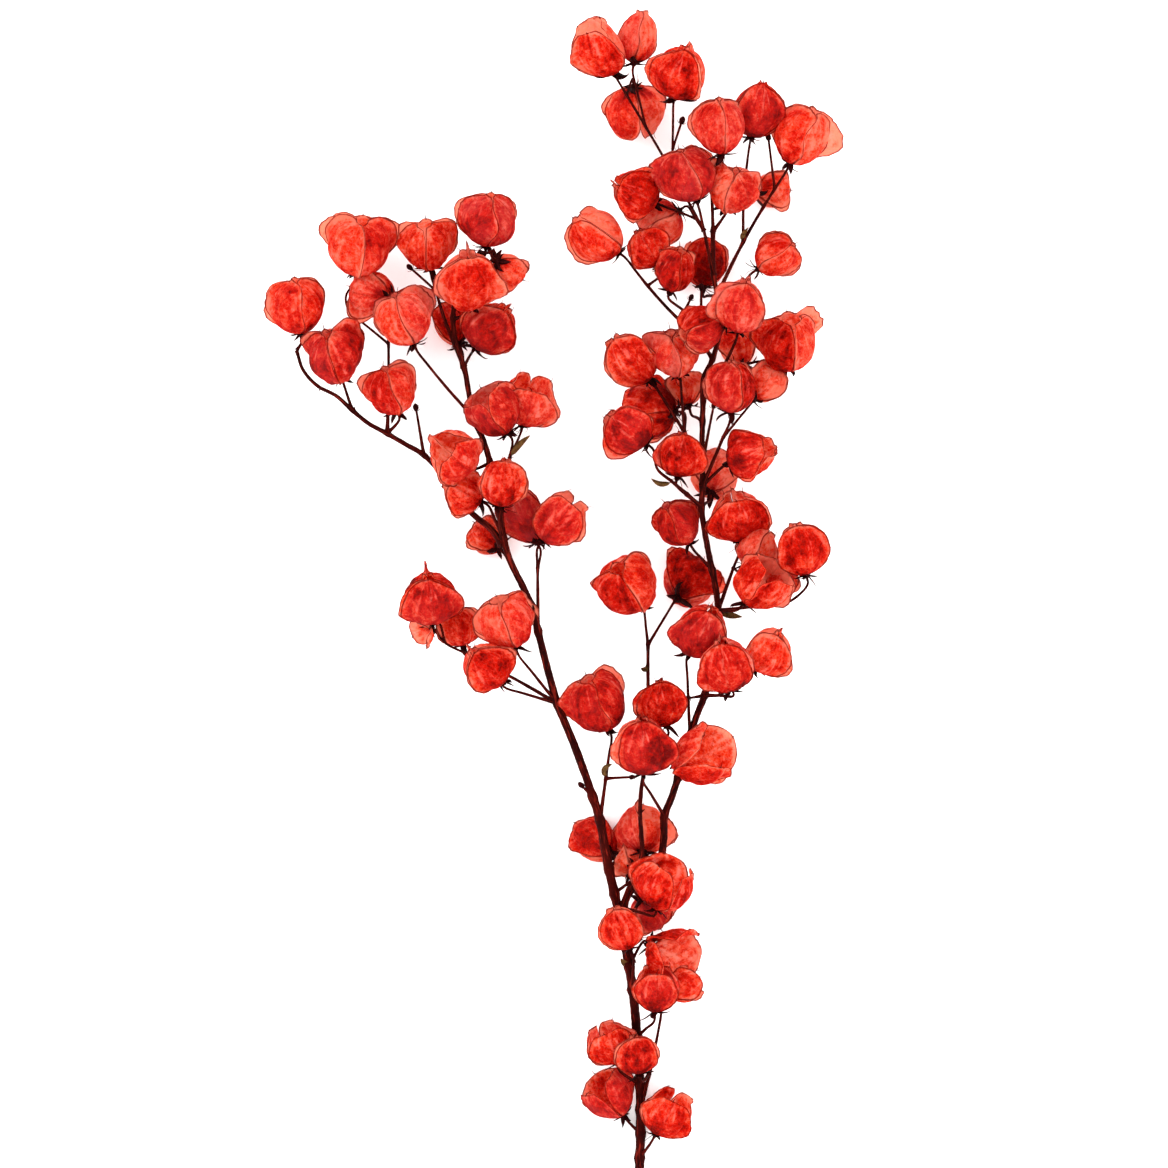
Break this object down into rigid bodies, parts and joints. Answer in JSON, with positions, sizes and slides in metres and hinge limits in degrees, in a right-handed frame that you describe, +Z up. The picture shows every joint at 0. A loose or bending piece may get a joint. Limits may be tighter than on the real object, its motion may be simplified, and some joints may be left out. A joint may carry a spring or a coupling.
{
  "type": "dried bougainvillea bunch",
  "caption": "Cut woody branching spray of dried bougainvillea lying flat, with papery red lantern-shaped blooms of cupped bracts on thin twigs.",
  "frame": {"origin": "on the surface that the spray lies on, under the middle of its bounding box", "axes": "+Y runs from the cut end of the stem to the tips, +Z is up from the surface, and +X is to the right of the spray seen from above"},
  "size_m": [0.3356, 0.7188, 0.1016],
  "materials": {
    "bracts": "matte",
    "stem": "satin"
  },
  "bodies": {
    "root": {"woody_stem": "stem", "bloom_r01_r02": "bracts", "bloom_r03": "bracts", "bloom_r04": "bracts", "bloom_r05_r06_r07": "bracts", "bloom_r08": "bracts", "bloom_r09_r10": "bracts", "bloom_r11": "bracts", "bloom_r12_r14_r15": "bracts", "bloom_r13": "bracts", "bloom_r16": "bracts", "bloom_r17": "bracts", "bloom_r18_r19": "bracts", "bloom_r20_r21": "bracts", "bloom_r22_r24": "bracts", "bloom_r23": "bracts", "bloom_r25": "bracts", "bloom_r26_r27": "bracts", "bloom_r28": "bracts", "bloom_r29": "bracts", "bloom_r30": "bracts", "bloom_r31": "bracts", "bloom_r32": "bracts", "bloom_r33_r34": "bracts", "bloom_r35": "bracts", "bloom_r36_r37": "bracts", "bloom_r38": "bracts", "bloom_r39": "bracts", "bloom_r40_r41": "bracts", "bloom_r42": "bracts", "bloom_r43": "bracts", "bloom_r44_r45": "bracts", "bloom_r46": "bracts", "bloom_r47a": "bracts", "bloom_r47b_r47c": "bracts", "bloom_r48": "bracts", "bloom_r49": "bracts", "bloom_r50": "bracts", "bloom_r51_r52_r53": "bracts", "bloom_r54_r55": "bracts", "bloom_r56": "bracts", "bloom_r57": "bracts", "bloom_l01": "bracts", "bloom_l02": "bracts", "bloom_l03": "bracts", "bloom_l04_l05": "bracts", "bloom_l06": "bracts", "bloom_l07": "bracts", "bloom_l08": "bracts", "bloom_l09_l10": "bracts", "bloom_l11": "bracts", "bloom_l12": "bracts", "bloom_l13a_l13b": "bracts", "bloom_l14_l16": "bracts", "bloom_l15": "bracts", "bloom_l17_l18": "bracts", "bloom_l19": "bracts", "bloom_l20_l21": "bracts", "bloom_l22": "bracts", "bloom_l23_l24": "bracts"}
  },
  "joints": []
}
